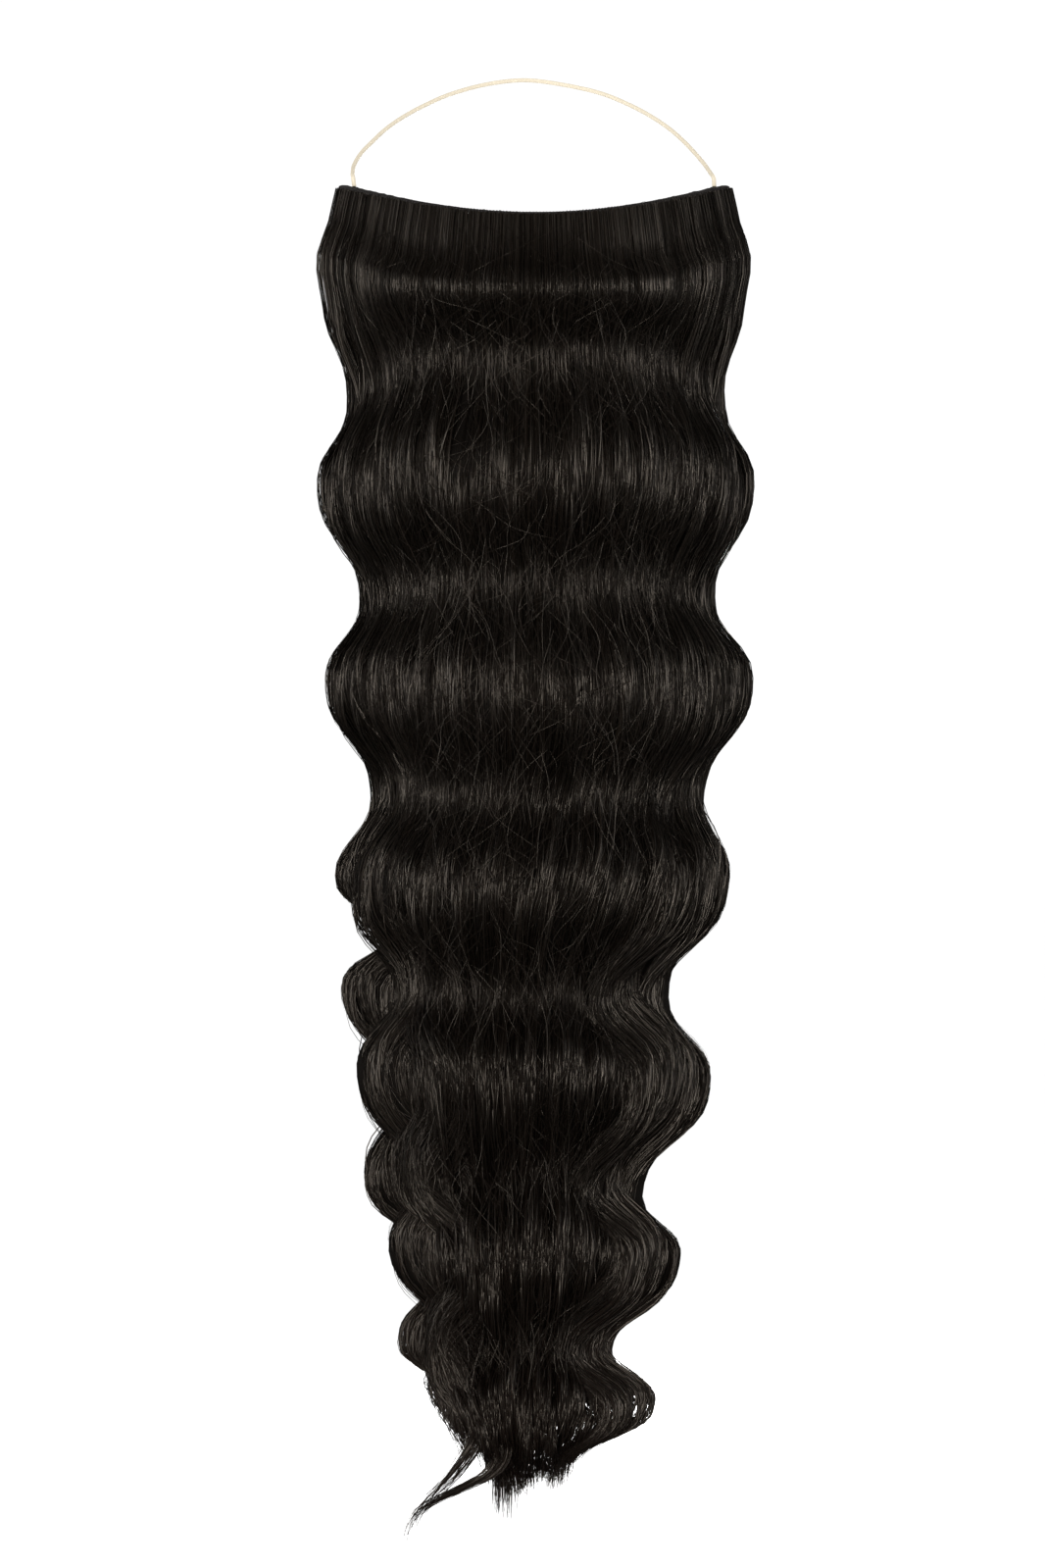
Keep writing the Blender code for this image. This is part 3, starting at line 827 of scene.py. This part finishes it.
def make_heart(index):
    """The closed body of one lock, a little inside its strands."""
    rng = np.random.default_rng(500 + index)
    left, right, tip = HEARTS[index]
    ring_angle = ring_angles(HEART_SIDES)
    across = squared(np.cos(ring_angle), HEART_FLATNESS)
    groove = rng.normal(0, 1, HEART_SIDES)
    root = (-weft_top(lock_turn(index) + across / LOCK_COUNT) + SEAM_HEIGHT + FIT_GAP) / HAIR_LENGTH
    share = np.linspace(0.0, 1.0, HEART_RINGS)[:, None]
    level = mix(root[None, :], tip, share)
    split = smoothstep(*SPLIT_LEVELS, level)
    close = mix(HEART_BLUNTNESS, 1.0, np.sqrt(np.clip((tip - level) / HEART_CLOSING, 0.0, 1.0)))
    spread = mix(HEART_ROOT_WIDTH, np.where(across < 0, left, right), split)
    turn = lock_turn(index) + across * close * spread / LOCK_COUNT
    inset = mix(HEART_INSET, HEART_EDGE_INSET, smoothstep(*OUTER_TURNS, np.abs(turn)))
    lift = squared(np.sin(ring_angle), mix(*HEART_SQUARENESS, split))
    grooved = groove * HEART_GROOVES * smoothstep(*HEART_GROOVE_LEVELS, level)
    past = smoothstep(*HEART_PAST_SIDES, np.abs(across * spread))
    lift = lift * (0.5 - inset + grooved) * close * (1.0 - HEART_THINNER * past)
    proud = 0.5 - HEART_LOWER * past + lift
    points, _ = hair_points(np.full(len(level), index), turn, proud, level)
    uv = np.stack(np.broadcast_arrays(ring_angle * 9.0 + index * 20.0, level * 14.0), axis=-1)
    quads = ring_quads(HEART_RINGS, HEART_SIDES)[:, ::-1]
    heart = mesh_piece(
        f"hair_lock_{index + 1}_heart", points.reshape(-1, 3), quads, heart_shade, uv=uv.reshape(-1, 2),
    )
    close_ends(heart)
    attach(heart, "root")
    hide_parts(f"hair_lock_{index + 1}")


for index in range(LOCK_COUNT):
    make_heart(index)


# The strands: flat-lying ribbons of a few hairs each, from the seam to the tips, shaded
# round. Those of a lock gather in clumps, and stray a little into the locks beside.
OUTER_STRANDS = 330
INNER_STRANDS = 80
CLUMPS = 6
CLUMP_REACH = 1.1
STRAND_STEPS = 103
STRAND_WIDTH = (0.00028, 0.00072)
DULL_SHARE = 0.5
TONES = (1.3, 3.0)
ROOT_DROP = (0.0008, 0.0016)
ROOT_REACH = 1.2
WEFT_END = 0.998
PAST_END = 0.12
TIP_EASE = 1.4
TIP_SCATTER = 0.004
TIP_WIDTH = 0.004
LONGEST_TIP = 1.018
TAPER = 0.75
TAPER_REACH = 0.07
GATHERING = 0.5
GATHER_LEVELS = (0.90, 0.98)
CLUMP_DRIFT_LEVELS = (0.1, 0.7)
DRIFT_AT_ROOT = 0.35
DRIFT_LEVELS = (0.1, 0.5)
STRAY_SHARE = 0.08
CALM_STRAYS = 0.25
CROWN_POWER = 2.6
LAYER_POWER = 1.5
LAYER_DEPTHS = (0.16, 0.07)
LATE_LEVELS = (0.87, 0.935)
VIGOUR_SPREAD = 0.05
EDGE_TILT = math.radians(42.0)
ROLL_SPREAD = math.radians(24.0)
ROUND_SHADING = math.radians(52.0)
STREAK_APART = 3.7
STREAK_WIDTH = 0.6
STREAK_LENGTH = 26.0

# How far the clumps wave in step: fully at the root, nearly so at the edges, and less so
# lower down in the middle
FREE_LEVELS = (0.06, 0.16)
EDGE_IN_STEP = 0.8
EDGE_TURNS = (0.88, 1.0)
LOOSE_ENDS = 2.2
LOOSE_LEVELS = (0.60, 0.78)
LOOSE_TURNS = (0.30, 0.55)

# Columns: how far the lock's strands reach left and right in half widths of the lock, how
# round its left and right edges are, how much stronger its waves run, how far its last
# wave trails in half waves, and the mean and spread of how much shorter than the lock they are
LOCK_STRANDS = np.array([
    (-1.05, 2.80, 1.00, 0.10, 1.00, 0.00, -0.002, 0.009),
    (-1.05, 2.40, 0.90, 0.20, 0.85, 0.00, 0.006, 0.009),
    (-1.50, 1.30, 1.00, 0.80, 1.00, 0.50, 0.034, 0.020),
    (-2.60, 1.25, 0.10, 0.10, 1.00, 0.00, 0.004, 0.010),
    (-1.30, 1.30, 0.10, 0.10, 1.00, 0.00, -0.001, 0.005),
    (-1.30, 1.30, 0.10, 0.10, 1.00, 0.00, -0.004, 0.004),
    (-1.30, 2.20, 0.10, 0.10, 1.00, 0.00, -0.010, 0.004),
    (-1.10, 1.20, 1.00, 0.10, 1.18, 0.00, -0.008, 0.005),
    (-1.20, 1.02, 0.10, 1.00, 1.06, 0.00, -0.016, 0.004),
])

# Where the tips of each lock but the third draw together. Columns: from level, to level,
# place across in metres, how far they draw together, and how suddenly
LOCK_TIPS = {
    0: (0.880, 0.948, -0.0280, 0.85, 1.0),
    1: (0.885, 0.948, -0.0280, 0.90, 1.0),
    3: (0.900, 0.960, -0.0135, 0.80, 1.0),
    4: (0.900, 0.980, -0.0030, 0.50, 1.0),
    5: (0.900, 0.975, 0.0040, 0.40, 1.0),
    6: (0.920, 0.970, 0.0090, 0.50, 1.0),
    7: (0.922, 0.962, 0.0110, 0.85, 1.9),
    8: (0.925, 0.962, 0.0120, 0.90, 2.1),
}

# The third lock ends in two long wisps that swing to the left. Their lines, as levels and
# places across in metres
WISP_LOCK = 2
LOWER_WISP = np.array([
    (0.900, -0.0230),
    (0.937, -0.0262),
    (0.962, -0.0358),
    (0.980, -0.0455),
    (0.995, -0.0530),
    (1.015, -0.0572),
])
CURLED_WISP = np.array([
    (0.900, -0.0180),
    (0.943, -0.0136),
    (0.962, -0.0185),
    (0.976, -0.0340),
    (0.990, -0.0500),
    (1.015, -0.0578),
])
WISP_LEVELS = (0.895, 0.948)
WISP_SHARE = 0.35
WISP_HALF_WIDTH = 0.0023
WISP_END_WIDTH = 0.7
WISP_NARROWING = (0.93, 1.0)


def wander(rng, count, steps, knots, size):
    """Smooth random sideways drift along each of several strands, none at the root."""
    values = rng.normal(0.0, size, (knots, count))
    values[0] = 0.0
    return through(np.linspace(0.0, 1.0, knots), values, np.linspace(0.0, 1.0, steps)).T


def ribbons(name, points, outward, width, tone, dull_share, roll=0.0):
    """Joins strands as ribbons that face outward and shade as round hairs. A share of them
    is duller than the rest."""
    count, steps = points.shape[:2]
    tangent = unit(np.gradient(points, axis=1))
    normal = unit(outward - tangent * (outward * tangent).sum(-1, keepdims=True))
    across = np.cross(tangent, normal)
    turned = np.broadcast_to(np.asarray(roll, float), (count,))[:, None, None]
    cosine, sine = np.cos(turned), np.sin(turned)
    normal, across = normal * cosine + across * sine, across * cosine - normal * sine
    half = (width / 2)[..., None] * across
    edges = np.stack([points - half, points + half], axis=2)
    lean = np.stack([-across, across], axis=2) * math.sin(ROUND_SHADING)
    normals = unit(normal[:, :, None] * math.cos(ROUND_SHADING) + lean)
    strip = ring_quads(steps, 2, closed=False)
    quads = (strip[None] + np.arange(count)[:, None, None] * steps * 2).reshape(-1, 4)
    share = np.linspace(0.0, 1.0, steps)
    start = np.arange(count) * STREAK_APART
    shape = (count, steps, 2)
    u = np.broadcast_to(start[:, None, None] + np.array([0.0, STREAK_WIDTH]), shape)
    v = np.broadcast_to(share[None, :, None] * STREAK_LENGTH, shape)
    values = {
        "tone": np.broadcast_to(tone[:, None, None], shape).ravel(),
        "along": np.broadcast_to(share[None, :, None], shape).ravel(),
    }
    piece = mesh_piece(
        name, edges.reshape(-1, 3), quads, hair_shade,
        uv=np.stack([u, v], axis=-1).reshape(-1, 2), values=values, normals=normals.reshape(-1, 3),
    )
    piece.data.materials.append(dull_shade)
    dull = np.random.default_rng(count).random(count) < dull_share
    piece.data.polygons.foreach_set("material_index", np.repeat(dull, steps - 1).astype(np.int32))
    return piece


def strand_group(rng, index, count, outer, tip_range=None):
    """The strands of one face of a lock, as points, outward ways and widths."""
    steps = STRAND_STEPS
    left, right, left_round, right_round, strength, late, shorter, spread = LOCK_STRANDS[index]
    clump = rng.integers(0, CLUMPS, count)
    clump_middle = mix(left, right, (clump + 0.5) / CLUMPS)
    in_clump = rng.uniform(-CLUMP_REACH, CLUMP_REACH, count) * (right - left) / 2 / CLUMPS
    tip = LOCKS[index][0] - shorter + rng.normal(0.0, spread, count)
    tip = tip + rng.normal(0.0, TIP_SCATTER, CLUMPS)[clump]
    if tip_range:
        tip = rng.uniform(*tip_range, count)
    tip = np.minimum(tip, LONGEST_TIP)
    share = np.linspace(0.0, 1.0, steps)
    root_across = np.clip(clump_middle + in_clump, -ROOT_REACH, ROOT_REACH)
    root_turn = np.clip(lock_turn(index) + root_across / LOCK_COUNT, -WEFT_END, WEFT_END)
    root = (-weft_top(root_turn) + rng.uniform(*ROOT_DROP, count)) / HAIR_LENGTH
    level = mix(root[:, None], tip[:, None], 1.0 - (1.0 - share[None, :]) ** TIP_EASE)
    split = smoothstep(*SPLIT_LEVELS, level)
    gather = smoothstep(*GATHER_LEVELS, level)
    clump_drift = wander(rng, CLUMPS, steps, knots=9, size=0.13)[clump]
    clump_drift = clump_drift * smoothstep(*CLUMP_DRIFT_LEVELS, level)
    drift = wander(rng, count, steps, knots=14, size=0.11)
    drift = drift * mix(DRIFT_AT_ROOT, 1.0, smoothstep(*DRIFT_LEVELS, level))
    stray = (rng.random(count) < STRAY_SHARE)[:, None] * wander(rng, count, steps, knots=12, size=0.30)
    stray = stray * (1.0 if 2 <= index <= 7 else CALM_STRAYS)
    across = clump_middle[:, None] + in_clump[:, None] * (1.0 - GATHERING * gather)
    across = mix(np.clip(across, -ROOT_REACH, ROOT_REACH), across, split) + clump_drift + drift + stray
    turn = lock_turn(index) + across / LOCK_COUNT
    turn = mix(np.clip(turn, -1.0, 1.0), turn, PAST_END)
    rounding = np.where(across < 0, left_round, right_round) * split
    edge = np.clip(np.abs(across), 0.0, 1.0)
    crown = 1.0 - rounding * (0.5 - 0.5 * np.sqrt(np.clip(1.0 - edge**CROWN_POWER, 0.0, 1.0)))
    layer = rng.random(count) ** LAYER_POWER
    layer = layer * mix(*LAYER_DEPTHS, smoothstep(*OUTER_TURNS, np.abs(root_turn)))
    ripple = wander(rng, count, steps, knots=30, size=0.016)
    ripple = ripple + wander(rng, CLUMPS, steps, knots=16, size=0.03)[clump]
    height = crown - layer[:, None] + ripple
    proud = height if outer else 1.0 - height
    tilt = rounding * np.clip(across, -1.0, 1.0) * EDGE_TILT * (1.0 if outer else -1.0)
    phase_shift = wander(rng, CLUMPS, steps, knots=9, size=0.07)[clump]
    phase_shift = phase_shift + wander(rng, count, steps, knots=10, size=0.06)
    phase_shift = phase_shift * smoothstep(*FREE_LEVELS, level)
    phase_shift = phase_shift * (1.0 - EDGE_IN_STEP * smoothstep(*EDGE_TURNS, np.abs(turn)))
    loose = smoothstep(*LOOSE_LEVELS, level) * (1.0 - smoothstep(*LOOSE_TURNS, np.abs(turn)))
    phase_shift = phase_shift * mix(1.0, LOOSE_ENDS, loose)
    phase_shift = phase_shift - late * smoothstep(*LATE_LEVELS, level)
    vigour = mix(1.0, strength, split) + rng.normal(0.0, VIGOUR_SPREAD, CLUMPS)[clump][:, None]
    points, outward = hair_points(np.full(count, index), turn, proud, level, tilt, phase_shift, vigour)
    if index == WISP_LOCK:
        lower, curled = (through(line[:, 0], line[:, 1], level) for line in (LOWER_WISP, CURLED_WISP))
        place = np.where(rng.random(count)[:, None] < WISP_SHARE, lower, curled)
        aside = rng.normal(0.0, WISP_HALF_WIDTH, count)[:, None]
        place = place + aside * mix(1.0, WISP_END_WIDTH, smoothstep(*WISP_NARROWING, level))
        place = place + wander(rng, count, steps, knots=12, size=0.0009)
        drawn = smoothstep(*WISP_LEVELS, level)
    else:
        begin, done, place, much, sudden = LOCK_TIPS[index]
        place = place + rng.normal(0.0, TIP_WIDTH, count)[:, None]
        drawn = much * np.clip((level - begin) / (done - begin), 0.0, 1.2) ** sudden
    points[..., 0] = mix(points[..., 0], place, drawn)
    if not outer:
        outward = -outward
    near_tip = smoothstep(TAPER_REACH, 0.0, tip[:, None] - level)
    width = rng.uniform(*STRAND_WIDTH, count)[:, None] * (1.0 - TAPER * near_tip)
    return points, outward, width


def make_strands(index):
    """All the strands of one lock, over its outer and its inner face."""
    rng = np.random.default_rng(900 + index)
    outer = strand_group(rng, index, OUTER_STRANDS, True)
    inner = strand_group(rng, index, INNER_STRANDS, False)
    points, outward, width = (np.concatenate(part) for part in zip(outer, inner))
    tone = rng.beta(*TONES, len(points))
    roll = rng.normal(0.0, ROLL_SPREAD, len(points))
    strands = ribbons(f"hair_lock_{index + 1}_strands", points, outward, width, tone, DULL_SHARE, roll)
    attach(strands, "root")
    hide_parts(f"hair_lock_{index + 1}")


for index in range(LOCK_COUNT):
    make_strands(index)


# The wisps: a few longer and thinner strands that leave the tips of the third lock to the
# left and those of the fourth to the right.
WISP_TIPS = (0.985, 1.018)
WISP_FROM = (0.945, 1.03)
WISP_DRIFT = 0.012
WISP_VARIETY = (0.75, 1.25)
WISP_THINNESS = 0.7

# Columns: the lock, how many strands, and how far they drift to the left
WISPS = [
    (WISP_LOCK, 60, 0.15),
    (3, 24, -0.3),
]

rng = np.random.default_rng(77)
wisp_parts = []
for index, count, drift in WISPS:
    points, outward, width = strand_group(rng, index, count, True, WISP_TIPS)
    away = smoothstep(*WISP_FROM, -points[..., 2] / HAIR_LENGTH)
    away = away * rng.uniform(*WISP_VARIETY, count)[:, None]
    points[..., 0] -= WISP_DRIFT * drift * away
    wisp_parts.append((points, outward, width * WISP_THINNESS))
points, outward, width = (np.concatenate(part) for part in zip(*wisp_parts))
wisps = ribbons("tip_wisps", points, outward, width, rng.beta(*TONES, len(points)), DULL_SHARE)
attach(wisps, "root")


# The flyaways: short loose hairs that lie across the others. In the middle they bridge the
# hollows of the waves, and towards the sides they follow the hair under them.
FLYAWAYS = 2900
FLYAWAY_STEPS = 13
FLYAWAY_WIDTH = (0.00014, 0.00026)
FLYAWAY_LENGTH = (0.02, 0.095)
FLYAWAY_STARTS = (0.036, 0.86)
FLYAWAY_LOWEST = 0.90
FLYAWAY_REACH = 0.84
FLYAWAY_EDGE = 0.88
FLYAWAY_LEFT_EDGE = 0.60
LEFT_EDGE_LEVELS = (0.30, 0.50)
FLYAWAY_LEAN = 0.20
FLYAWAY_LIFT = 1.02
FOLLOWING = (0.15, 0.95)
FOLLOWING_TURNS = (0.40, 0.70)
BRIDGE_HEIGHT = 0.75
BRIDGE_LEVELS = (0.05, 0.12)
BRIDGE_TURNS = (0.55, 0.85)
CLOSE_TURNS = (0.6, 0.88)
FLYAWAY_TONES = (0.2, 0.75)
FLYAWAY_DULL_SHARE = 0.6

rng = np.random.default_rng(63)
start = rng.uniform(*FLYAWAY_STARTS, FLYAWAYS)
end = np.minimum(start + rng.uniform(*FLYAWAY_LENGTH, FLYAWAYS), FLYAWAY_LOWEST)
share = np.linspace(0.0, 1.0, FLYAWAY_STEPS)
level = mix(start[:, None], end[:, None], share[None, :])
turn = rng.uniform(-FLYAWAY_REACH, FLYAWAY_REACH, FLYAWAYS)[:, None]
turn = turn + rng.normal(0.0, FLYAWAY_LEAN, FLYAWAYS)[:, None] * share
turn = turn + wander(rng, FLYAWAYS, FLYAWAY_STEPS, knots=4, size=0.03)
turn = np.clip(turn, -FLYAWAY_EDGE, FLYAWAY_EDGE)
left_edge = mix(-FLYAWAY_EDGE, -FLYAWAY_LEFT_EDGE, smoothstep(*LEFT_EDGE_LEVELS, level))
turn = np.maximum(turn, left_edge)
lock = np.clip(((turn[:, 0] + 1.0) / 2 * LOCK_COUNT).astype(int), 1, LOCK_COUNT - 1)
follow = rng.uniform(*FOLLOWING, FLYAWAYS)[:, None]
follow = mix(follow, 1.0, smoothstep(*FOLLOWING_TURNS, np.abs(turn)))
bridge = (1.0 - follow) * BRIDGE_HEIGHT * WAVE_HEIGHT / HAIR_THICKNESS
bridge = bridge * smoothstep(*BRIDGE_LEVELS, level)
bridge = bridge * (1.0 - smoothstep(*BRIDGE_TURNS, np.abs(turn)))
above = np.abs(wander(rng, FLYAWAYS, FLYAWAY_STEPS, knots=5, size=0.10))
above = above * (1.0 - smoothstep(*CLOSE_TURNS, np.abs(turn)))
points, outward = hair_points(lock, turn, FLYAWAY_LIFT + bridge + above, level, vigour=follow)
width = rng.uniform(*FLYAWAY_WIDTH, FLYAWAYS)[:, None] * np.ones(FLYAWAY_STEPS)
tone = rng.uniform(*FLYAWAY_TONES, FLYAWAYS)
flyaways = ribbons("flyaway_hairs", points, outward, width, tone, FLYAWAY_DULL_SHARE)
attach(flyaways, "root")


# The studio: a pale floor under the hanging piece, and soft light from in front, from
# behind and from both sides.
FLOOR_LEVEL = -0.80
LIGHT_AIM = (0.0, 0.0, -0.28)
WORLD_LIGHT = 1.04
MIRRORED_WORLD = 0.02

bpy.ops.object.select_all(action="DESELECT")
bpy.ops.mesh.primitive_plane_add(size=60.0, location=(0.0, 0.0, FLOOR_LEVEL))
floor = bpy.context.object
floor.name = "studio_floor"
paper, _, _ = principled(
    "pale_paper", Roughness=0.9, Specular_IOR_Level=0.0, Base_Color=(0.95, 0.95, 0.95, 1.0)
)
floor.data.materials.append(paper)
floor.visible_glossy = False


def soft_light(name, place, size, power):
    """A rectangular softbox at a place, turned to the middle of the hair."""
    light = bpy.data.lights.new(name, "AREA")
    light.shape = "RECTANGLE"
    light.size, light.size_y = size
    light.energy = power
    lamp = bpy.data.objects.new(name, light)
    lamp.location = place
    lamp.visible_camera = False
    way = np.array(LIGHT_AIM) - np.array(place)
    flat = math.hypot(way[0], way[1])
    lamp.rotation_euler = (math.atan2(flat, -way[2]), 0.0, math.atan2(-way[0], way[1]))
    bpy.context.scene.collection.objects.link(lamp)


soft_light("front_softbox", (-0.5, -3.2, -0.02), (1.0, 1.54), 76.0)
soft_light("back_softbox", (0.5, 3.2, 0.1), (1.0, 1.7), 75.0)
soft_light("left_softbox", (-3.2, 0.4, 0.1), (1.0, 1.7), 20.0)
soft_light("right_softbox", (3.2, 0.4, 0.1), (1.0, 1.7), 20.0)
world = bpy.data.worlds.new("studio")
world.use_nodes = True
bpy.context.scene.world = world
tree = world.node_tree
background = tree.nodes["Background"]
background.inputs["Color"].default_value = (1.0, 1.0, 1.0, 1.0)
seen = node(tree, "LightPath", output="Is Camera Ray")
spread = node(tree, "LightPath", output="Is Diffuse Ray")
strength = seen.maths("MAXIMUM", spread) * WORLD_LIGHT + MIRRORED_WORLD
tree.links.new(strength.socket, background.inputs["Strength"])
bpy.context.scene.view_settings.view_transform = "Standard"
